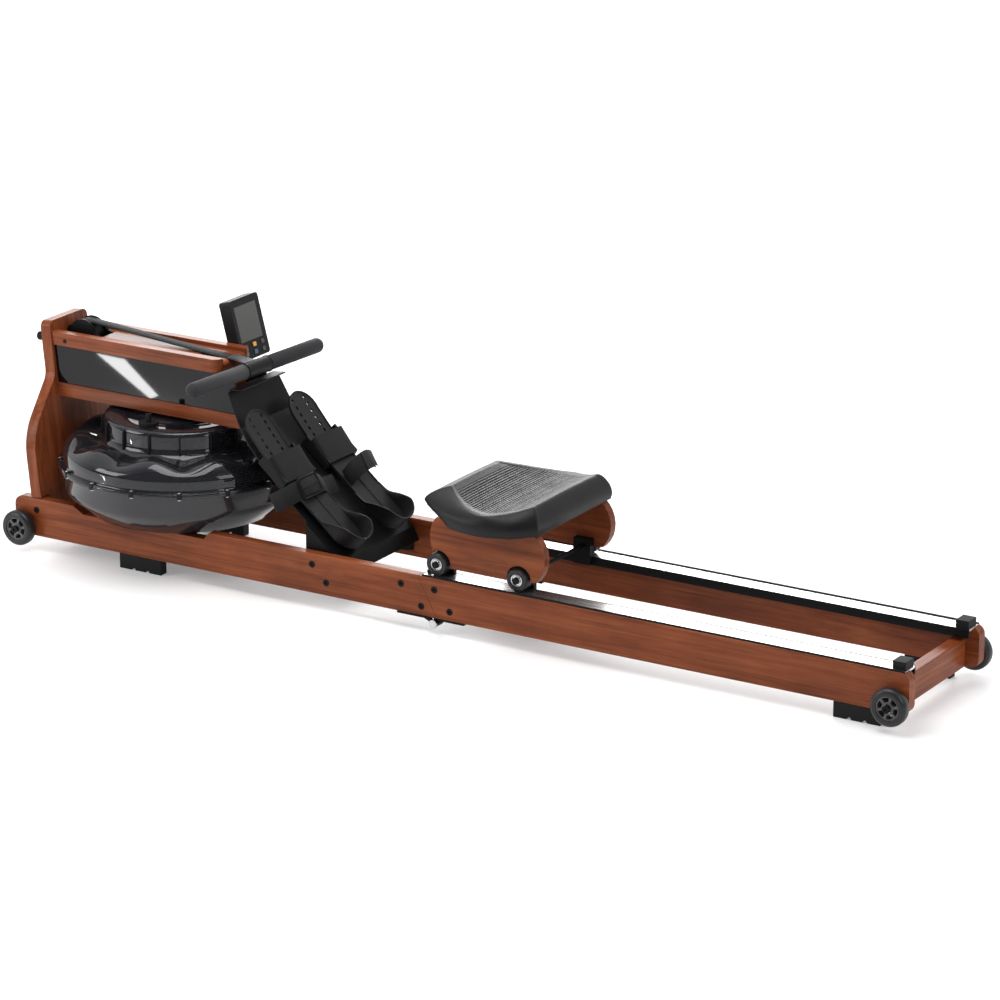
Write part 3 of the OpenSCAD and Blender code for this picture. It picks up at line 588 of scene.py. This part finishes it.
def add_tank():
    """Both smoked shells with the gasket between them, the collar's ribs, rim clips and filler boss."""
    wall = [(260, 202.3), (260, 206), (259, 207), (251.5, 207.2), (250.4, 209), (250, 213), (250, 228)]
    roof = [(248.5, 236), (244, 243), (237, 249), (228, 253), (218, 255.5), (208, 256.5), (198, 256),
            (188, 255), (180, 255), (173, 257), (167, 262), (164, 268), (163, 275), (163, 298), (161.5, 304),
            (158, 307), (152, 308), (120, 308), (118, 306.6), (60, 306.6), (58, 308), (13, 308)]
    inner = [(13, 305), (150, 305), (157, 303), (159.5, 297), (159.5, 268), (164, 259), (172, 253.5),
             (190, 251), (208, 253), (228, 249.5), (240, 243), (246, 232), (246.5, 202.3)]
    turned(wall + roof + inner, 320, True).piece("tank_top", SMOKE, "front_frame", "smoked_tank", 50,
                                                 stands_for=["tank_upper_shell"])
    bowl = [(0, 101), (190, 101), (197, 103.6), (240, 141), (247, 148.6), (249.6, 155), (250, 162),
            (250, 195), (251, 197), (259, 197), (260, 198), (260, 201.6), (246.5, 201.6), (246.5, 158),
            (243, 150), (196, 108), (189, 105), (0, 105)]
    turned(bowl, 192).piece("tank_bowl", SMOKE_BOWL, "front_frame", "smoked_tank", 40,
                            stands_for=["tank_lower_shell"])
    gasket = [(247, 201.5), (258.6, 201.2), (258.8, 202.7), (247, 202.4)]
    turned(gasket, 128).piece("tank_gasket", RUBBER, "front_frame", "rubber", 40)
    ribs = Shape()
    clips = Shape()
    for i in range(16):
        angle = math.tau * (i + 0.5) / 16
        side = Vector((-math.sin(angle), math.cos(angle), 0)) * 0.002
        rib = [(162.5, 262), (168.5, 260), (168.5, 296), (166, 303), (162.5, 303)]
        ring = tank_ring(angle, rib)
        ribs.skin([[p - side for p in ring], [p + side for p in ring]])
        clip = [(250.5, 195.5), (261, 195.5), (261.6, 196.5), (261.6, 208), (261, 209), (250.5, 209)]
        ring = tank_ring(angle, clip)
        clips.skin([[p - side * 2.4 for p in ring], [p + side * 2.4 for p in ring]])
    ribs.piece("tank_collar_ribs", PLASTIC_BLACK, "front_frame", "black_plastic", bevel=0.0006)
    clips.piece("tank_clips", PLASTIC_BLACK, "front_frame", "black_plastic", bevel=0.0008)
    boss = [(13.5, 304), (34, 304), (34, 309.4), (31, 311), (22, 311.4), (19, 313), (13.5, 313)]
    filler = Shape().lathe(at(TANK_X, 0, 0), (0, 0, 1), boss, 64)
    filler.piece("tank_boss", PLASTIC_BLACK, "front_frame", "black_plastic", bevel=0.0006)


# ---- Wheels and rollers ----


def add_wheel(name):
    """A transport wheel: round tyre, slotted hub and bearing."""
    low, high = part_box(name)
    centre, size = (low + high) / 2, high - low
    radius, half = size.z * 500, size.y * 500
    corner = 9
    turns = [(-1, math.radians(-75 + 15 * k)) for k in range(6)]
    turns += [(1, math.radians(15 * k)) for k in range(6)]
    tread = [(24.2, 0.4 - half), (27, -half), (31, 0.6 - half)]
    tread += [(radius - corner + corner * math.cos(t), (half - corner) * side + corner * math.sin(t))
              for side, t in turns]
    tread += [(31, half - 0.6), (27, half), (24.2, half - 0.4)]
    tyre = Shape().lathe(centre, (0, 1, 0), tread)
    tyre.piece(f"{name}_tyre", TYRE, name, "wheel_tyre", 40, stands_for=[name])
    hub = Shape()
    web = half - 3.2
    boss = web + 0.6
    hub.lathe(centre, (0, 1, 0), [(21.4, -web), (24.2, -web - 1), (24.2, web + 1), (21.4, web)], 64)
    hub.lathe(centre, (0, 1, 0), [(8.4, -boss), (12.6, -boss), (12.6, boss), (8.4, boss)], 64)
    for i in range(6):
        angle = math.tau * i / 6 + 0.26
        out = Vector((math.cos(angle), 0, math.sin(angle))) / 1000
        side = Vector((-math.sin(angle), 0, math.cos(angle))) / 1000
        deep = Vector((0, web, 0)) / 1000
        hub.skin([[centre + out * r - side * w - deep, centre + out * r + side * w - deep,
                   centre + out * r + side * w + deep, centre + out * r - side * w + deep]
                  for r, w in ((12, 3.2), (16, 2.5), (22, 3.4))])
    hub.piece(f"{name}_hub", HUB_GREY, name, "black_plastic", bevel=0.0004)
    race = [(4.1, -half + 1), (8.4, -half + 1), (8.4, -half + 2.4), (7.6, -half + 3), (7.6, half - 3),
            (8.4, half - 2.4), (8.4, half - 1), (4.1, half - 1)]
    Shape().lathe(centre, (0, 1, 0), race, 48).piece(f"{name}_bearing", STEEL, name, "bright_steel")


def add_rollers(name, body):
    """The pair of seat rollers on one axle, each with a bearing in its face."""
    low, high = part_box(name)
    x, z = (low.x + high.x) / 2, (low.z + high.z) / 2
    radius = (high.z - low.z) * 500
    half, y = (high.y - ROLLER_IN) * 500, (high.y + ROLLER_IN) / 2
    tread = [(12.6, -half), (radius - 2.4, -half), (radius - 0.5, 1.6 - half), (radius, 4 - half),
             (radius, -1.6), (radius - 0.7, -0.8), (radius - 0.7, 0.8), (radius, 1.6), (radius, half - 4),
             (radius - 0.5, half - 1.6), (radius - 2.4, half), (15.4, half), (14.6, half - 1.4),
             (12.6, half - 1.8)]
    race = [(4.2, 2 - half), (12.6, 2 - half), (12.6, half - 1), (10.6, half - 0.5), (9.6, half - 1.6),
            (7.8, half - 1.6), (7.2, half - 0.8), (4.2, half - 0.8)]
    tyres = Shape()
    races = Shape()
    for side in (-1, 1):
        centre = Vector((x, side * y, z))
        tyres.lathe(centre, (0, side, 0), tread)
        races.lathe(centre, (0, side, 0), race, 64)
    tyres.piece(f"{name}_tyres", TYRE, body, "roller_tyre", 40, stands_for=[name])
    races.piece(f"{name}_bearings", STEEL, body, "bright_steel")


# ---- Seat ----


def add_seat_pad():
    """Moulded foam seat: a dished top with a field of cross ribs, a bright rim and a bulging skirt."""
    low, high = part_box("seat_pad")
    x0, x1 = low.x * 1000, high.x * 1000
    half, base = high.y * 1000, low.z * 1000
    front, rear = x0 + 40, x1 - 25
    waist = (front + rear) / 2 + 4
    columns, rows = 260, 90

    def top_half(x):
        """Half the width of the top."""
        return between(x, [(front, half - 86), (front + 38, half - 50), (front + 84, half - 22),
                           (front + 122, half - 13), (rear - 40, half - 34), (rear, half - 54)])

    def top_height(x, v):
        """The top's height, where v runs from -1 to 1 across it."""
        t = (x - waist) / (rear - waist if x > waist else waist - front)
        return base + 31 + 21 * abs(t) ** 1.9 + 2 * (1 - v * v)

    def point(i, j):
        """A point of the top, with its ribs and the raised rim."""
        x = front + (rear - front) * i / columns
        v = -1 + 2 * j / rows
        z = top_height(x, v)
        inside = min(smooth(x, front + 16, front + 18), 1 - smooth(x, rear - 22, rear - 20),
                     1 - smooth(abs(v), 0.865, 0.885))
        z -= inside * (1.6 - 1.5 * abs(math.sin(math.pi * (x - front - 17) / RIB_PITCH)) ** 0.7)
        z += 0.8 * smooth(abs(v), 0.90, 0.95) * (1 - smooth(abs(v), 0.96, 1.0))
        return x, v * top_half(x), z

    shape = Shape()
    grid = [[point(i, j) for j in range(rows + 1)] for i in range(columns + 1)]
    metres = [[Vector(p) / 1000 for p in row] for row in grid]
    count = rows + 1
    for row in metres:
        shape.points.extend(row)
    for i in range(columns):
        for j in range(rows):
            a = i * count + j
            shape.faces.append((a, a + 1, a + count + 1, a + count))
    border = [(0, j) for j in range(rows)] + [(i, rows) for i in range(columns)]
    border += [(columns, j) for j in range(rows, 0, -1)] + [(i, 0) for i in range(columns, 0, -1)]

    def outer(x, y, grow):
        """Where the skirt is furthest out beside a point of the top's border."""
        s = (x - front) / (rear - front)
        wide = between(s, [(0.0, half - 52), (0.1, half - 34), (0.3, half - 10), (0.55, half),
                           (0.8, half - 8), (1.0, half - 38)])
        return x0 + grow + s * (x1 - x0 - 2 * grow), y / top_half(x) * (wide - grow)

    # Rings of the skirt: how far out, how far down, and how far back in from its widest outline
    steps = [(0.12, 0.02, 0), (0.32, 0.1, 0), (0.58, 0.3, 0), (0.8, 0.54, 0), (0.94, 0.78, 0), (1.0, 1.0, 0),
             (1.0, 1.2, 0), (1.0, 1.26, 1.2), (0.99, 1.6, 1.2), (0.98, 2.0, 1.2), (0.97, 2.1, 4),
             (0.97, 2.1, 40)]
    rings = []
    for share, drop, grow in steps:
        ring = []
        for i, j in border:
            x, y, z = grid[i][j]
            s = (x - front) / (rear - front)
            ox, oy = outer(x, y, grow)
            widest = 0.42 + 0.3 * smooth(s, 0.0, 0.5)
            fall = min(1.0, drop * widest) if drop < 2 else 1.0
            tuck = 40 * (1 - smooth(s, 0.0, 0.34)) * smooth(fall, widest + 0.16, 1.05)
            sag = 9 * (1 - (2 * s - 1) ** 2) * smooth(fall, widest, 1.0)
            if j not in (0, rows) or grow >= 5:
                sag = 0
            ring.append(Vector((x + (ox - x) * share + tuck, y + (oy - y) * share,
                                z + (base - z) * fall - sag)) / 1000)
        rings.append(ring)
    first = len(shape.points)
    size = len(border)
    for ring in rings:
        shape.points.extend(ring)
    edge = [i * count + j for i, j in border]
    for k in range(size):
        nxt = (k + 1) % size
        shape.faces.append((edge[k], edge[nxt], first + nxt, first + k))
        for r in range(len(rings) - 1):
            a = first + r * size
            shape.faces.append((a + k, a + nxt, a + size + nxt, a + size + k))
    shape.faces.append(tuple(first + (len(rings) - 1) * size + k for k in range(size)))
    pad = shape.piece("seat_cushion", SEAT_SKIN, "seat", "seat_foam", 55, stands_for=["seat_pad"])


# ---- Foot rests ----


def sole_height(x):
    """Top of the sole above the footboard, at a place down the board."""
    return between(x, [(40, 24), (100, 16), (400, 16)]) if x > 40 else 24 + 0.22 * (40 - x)


def sole_half(x):
    """Half the sole's width, which has round ends."""
    if x < SOLE_TOE:
        return math.sqrt(max(0.0, SOLE_R ** 2 - (SOLE_TOE - x) ** 2))
    if x > SOLE_HEEL:
        return math.sqrt(max(0.0, SOLE_R ** 2 - (x - SOLE_HEEL) ** 2))
    return SOLE_R


def edge_distance(x, y):
    """How far a point of the sole is from its edge."""
    if x < SOLE_TOE:
        return SOLE_R - math.hypot(x - SOLE_TOE, y)
    if x > SOLE_HEEL:
        return SOLE_R - math.hypot(x - SOLE_HEEL, y)
    return SOLE_R - abs(y)


def drill(item, cutters):
    """Cuts holes through a piece, and removes the cutters."""
    modifier = item.modifiers.new("holes", "BOOLEAN")
    modifier.operation = "DIFFERENCE"
    modifier.solver = "EXACT"
    modifier.object = cutters
    bpy.context.view_layer.update()
    mesh = bpy.data.meshes.new_from_object(item.evaluated_get(bpy.context.evaluated_depsgraph_get()))
    item.modifiers.clear()
    item.data = mesh
    mesh.shade_smooth()
    mesh.set_sharp_from_angle(angle=math.radians(40))
    bpy.data.objects.remove(cutters)


def add_foot_rest(side, label):
    """A sliding foot rest: holed tongue with a rim, heel cup and a seam under the heel."""
    y0 = side * FOOT_Y
    body = f"foot_rest_{label}"
    xs = [SOLE_TOE - SOLE_R * math.cos(math.pi * k / 44) for k in range(22)]
    xs += [SOLE_TOE + (SOLE_HEEL - SOLE_TOE) * k / 80 for k in range(81)]
    xs += [SOLE_HEEL + SOLE_R * math.sin(math.pi * k / 44) for k in range(1, 23)]
    xs[0], xs[-1] = xs[0] + 0.02, xs[-1] - 0.02
    vs = [math.sin(math.pi * (k / 40 - 0.5)) for k in range(41)]
    top, bottom = [], []
    for x in xs:
        half = sole_half(x)
        fade = 2.0 * (1 - smooth(x, 236, 246))
        rim = [fade * (1 - smooth(edge_distance(x, v * half), 2.2, 3.6)) for v in vs]
        z = sole_height(x)
        top.append([on_board(x, y0 + v * half, z + r) for v, r in zip(vs, rim)])
        bottom.append([on_board(x, y0 + v * half, z - 4) for v in vs])
    sole = Shape().sheet(top, bottom).piece(f"{body}_sole", SOLE_GREY, None, "black_plastic", 40)
    cutters = Shape()
    for i in range(7):
        for y in (-20, 20):
            x = 4 + 16 * i
            rings = [[on_board(x + 4.6 * math.cos(t), y0 + y + 3.2 * math.sin(t), z)
                      for t in (math.tau * k / 20 for k in range(20))] for z in (4, 60)]
            cutters.skin(rings)
    drill(sole, cutters.piece("cutters", SOLE_GREY, None, "black_plastic"))
    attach(sole, body)
    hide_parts(f"foot_slider_{label}")

    cup = Shape()
    stations = [(x, -1.0, 0.0) for x in range(238, SOLE_HEEL, 5)]
    stations += [(SOLE_HEEL, None, math.radians(a)) for a in range(-90, 91, 5)]
    stations += [(x, 1.0, 0.0) for x in reversed(range(238, SOLE_HEEL, 5))]
    rings = []
    for x, flank, angle in stations:
        if flank is None:
            out = Vector((math.cos(angle), math.sin(angle)))
            place = Vector((SOLE_HEEL, 0)) + out * SOLE_R
        else:
            out = Vector((0, flank))
            place = Vector((x, flank * SOLE_R))
        rim = between(place.x, [(238, 17), (262, 20), (294, 42), (318, 53), (332, 52), (350, 47)])
        middle = 12 + 0.5 * (rim - 12)
        section = [(0, 12), (0.4, middle), (2.2, rim - 2), (2.8, rim - 0.8), (2.2, rim), (0.9, rim),
                   (-0.4, rim - 0.8), (-3.2, middle), (-3.8, 15)]
        rings.append([on_board(place.x + out.x * d, y0 + place.y + out.y * d, h) for d, h in section])
    cup.skin(rings).piece(f"{body}_heel_cup", SOLE_GREY, body, "black_plastic", 50)
    seam = [on_board(x, y0, 16.2) for x in range(206, 336, 10)]
    Shape().wire(seam, 1.1, steps=8).piece(f"{body}_seam", SOLE_GREY, body, "black_plastic", 60)


def band_path(y0, x):
    """Across one foot, from wall to wall of its base."""
    top = 33 - 0.2 * (x - 98)
    side = [(-54.6, 5), (-54.8, 16), (-54.6, top - 7), (-53, top - 2.4), (-48, top), (-24, top + 0.7)]
    points = side + [(0, top + 1)] + [(-y, z) for y, z in reversed(side)]
    return [on_board(x, y0 + y, z) for y, z in points]


def add_toe_bands():
    """A wide rubber band over each foot."""
    bands = Shape()
    for y0 in (-FOOT_Y, FOOT_Y):
        xs = [97.2, 98.2, 110, 128, 146, 157.8, 158.8]
        top = [curve(band_path(y0, x), 4) for x in xs]
        down = on_board(0, 0, 0) - on_board(0, 0, 2.2)
        middle = on_board(0, y0, 0).y
        bottom = []
        for row in top:
            bottom.append([p - down + Vector((0, (middle - p.y) * 0.036, 0)) for p in row])
        bands.sheet(top, bottom)
    bands.piece("toe_bands", RUBBER_BAND, "front_frame", "webbing", 50, bevel=0.0005,
                stands_for=["toe_straps"])


def add_heel_straps():
    """The webbing straps behind the bands, with the near one's wire buckle."""
    along = on_board(1, 0, -0.35) - on_board(0, 0, 0)
    near = [(196, 22, 5), (194, -16, 8), (192, -34, 20), (189, -52, 29), (187, -92, 31), (186, -118, 29),
            (183, -134, 18), (181, -150, 8), (179, -186, 3)]
    near_end = [(189, -62, 33), (187, -92, 34.5), (186, -116, 32.4)]
    far = [(203, 44, 14), (202, 45, 28), (200, 53, 42), (198, 70, 51), (196, 92, 53), (195, 112, 48),
           (196, 122, 42)]
    far_end = [(198, 78, 54.5), (196, 100, 54), (196, 116, 50), (197, 127, 44)]
    straps = Shape()
    for path, width in ((near, 40), (near_end, 36), (far, 40), (far_end, 36)):
        straps.strap(curve([on_board(*p) for p in path]), along, width, 2.2)
    straps.piece("foot_straps", WEBBING, "front_frame", "webbing", 50)
    corners = [(-20, -32), (20, -32), (20, 32), (-20, 32)]
    loop = []
    for k, (a, b) in enumerate(corners):
        start = math.radians((180, 270, 0, 90)[k])
        centre = (a - math.copysign(5, a), b - math.copysign(5, b))
        for step in range(6):
            angle = start + math.radians(18 * step)
            loop.append((centre[0] + 5 * math.cos(angle), centre[1] + 5 * math.sin(angle)))
    buckle = Shape()
    buckle.wire([on_board(188 + a, -92 + b, 34 - 0.36 * a) for a, b in loop], 2.1, closed=True)
    buckle.wire([on_board(188, -92 + b, 34) for b in (-31, -10, 10, 31)], 1.8)
    buckle.piece("foot_strap_buckle", STEEL_BLACK, "front_frame", "black_steel", 60)


# ---- Strap, handle and monitor ----


def add_pull_strap():
    """The strap over the front pulley to the handle, built at one fixed length; the real strap pays out as the
    handle moves.
    """
    slope = math.radians(STRAP_SLOPE)
    cos, sin = math.cos(slope), math.sin(slope)
    centre = centre_of("front_pulley")
    radius = 33.5

    def along(x, z):
        """A point x along the strap's slope from the pulley's centre, and z out from it."""
        return centre + Vector((x * cos + z * sin, 0, z * cos - x * sin)) / 1000

    angles = [math.radians(a) for a in range(266, 90, -6)]
    turn = [along(radius * math.cos(a), radius * math.sin(a)) for a in angles]
    run = [along(x, radius) for x in range(0, 387, 6)]
    strap = Shape().strap(turn + run, (0, 1, 0), 28, 2.3).piece(
        "drive_strap", WEBBING, None, "webbing", 50, stands_for=["pull_strap"])
    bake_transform(strap)


def add_handle_grips():
    """Foam grips with domed ends, and a ring where each meets the centre sleeve."""
    centre = centre_of("handle_sleeve")
    yaw = math.radians(HANDLE_YAW)
    axis = Vector((math.sin(yaw), math.cos(yaw), 0))
    ring = [(15.6, -1.3), (17.3, -1.3), (17.7, -0.7), (17.7, 0.7), (17.3, 1.3), (15.6, 1.3)]
    rings = Shape()
    for side in (-1, 1):
        rings.lathe(centre + axis * side * 0.0372, axis, ring)
    rings.piece("handle_rings", PLASTIC_BLACK, "handle", "black_plastic", 40)
    low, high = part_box("handle_grips")
    end = (high.y - low.y) * 500 / math.cos(yaw) - GRIP_R * math.tan(yaw)
    dome = [(GRIP_R * math.cos(math.radians(a)), end - GRIP_R + GRIP_R * math.sin(math.radians(a)))
            for a in range(0, 86, 6)]
    grips = Shape()
    for side in (-1, 1):
        grips.lathe(centre, axis * side, [(9.2, 38.8), (15.2, 38.8), (GRIP_R, 39.6)] + dome
                    + [(0.01, end), (0.01, end - 7), (9.2, end - 7)])
    grips.piece("foam_grips", FOAM, "handle", "foam_grip", 50, stands_for=["handle_grips"])


def add_display_lines():
    """Faint dividing lines on the display, without any characters."""
    lean = math.radians(MONITOR_LEAN)
    up = Vector((-math.sin(lean), 0, math.cos(lean)))
    out = Vector((math.cos(lean), 0, math.sin(lean)))
    foot = at(*MONITOR_FOOT)
    bars = ((-37, 82, 34, 82.5), (-37, 70, 34, 70.5), (-37, 56, 34, 56.5), (-2, 56.5, -1.5, 69.5))
    lines = Shape()
    for y0, z0, y1, z1 in bars:
        corners = [(y0, z0), (y1, z0), (y1, z1), (y0, z1)]
        lines.skin([[foot + Vector((0, y, 0)) / 1000 + up * z / 1000 + out * d / 1000 for y, z in corners]
                    for d in (-0.25, -0.1)])
    lines.piece("display_lines", KEY_DARK, "monitor", "display_glass")


# ---- Track trims ----


def add_track_trims():
    """Black caps along the tracks' outer rims and inner flanges."""
    low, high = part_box("tracks")
    x0, x1 = low.x * 1000 + FRONT_END, high.x * 1000 + FRONT_END
    outer, top = high.y * 1000, high.z * 1000
    rims = Shape()
    for side in (-1, 1):
        rim = [(outer - 3.1, top - 1.8), (outer - 2.9, top + 0.3), (outer - 0.2, top + 0.4),
               (outer + 0.4, top - 0.3), (outer + 0.4, top - 3.6), (outer - 0.1, top - 3.8)]
        flange = [(TRACK_IN - 0.5, 99.6), (TRACK_IN + 3.4, 99.6), (TRACK_IN + 3.4, 113.2),
                  (TRACK_IN + 2.4, top - 1.7), (TRACK_IN, top - 1.7), (TRACK_IN - 0.5, 116.6)]
        for outline in (rim, flange):
            rims.prism([(side * y, z) for y, z in outline], x0 - 0.3, x1 + 0.3)
    rims.piece("track_trims", STEEL_BLACK, "rear_frame", "black_steel", 30, bevel=0.0003)


add_camera()
add_world()
add_lights()
add_card()
add_floor()
finish_nodes()
round_edges(("front_rail_left", "front_rail_right", "rear_rail_left", "rear_rail_right", "front_post",
             "top_beam_left", "top_beam_right", "lower_beams", "deck", "seat_sides", "rear_crosspiece"), 0.003)
round_edges(("monitor_housing", "foot_bases", "front_feet", "rear_feet", "track_stops", "footboard"),
            0.0008)
add_tank()
for wheel in ("front_wheel_left", "front_wheel_right", "rear_wheel_left", "rear_wheel_right"):
    add_wheel(wheel)
for rollers in ("seat_rollers_front", "seat_rollers_rear"):
    add_rollers(rollers, rollers)
add_seat_pad()
for direction, label in ((-1, "left"), (1, "right")):
    add_foot_rest(direction, label)
add_toe_bands()
add_heel_straps()
add_pull_strap()
add_handle_grips()
add_display_lines()
add_track_trims()
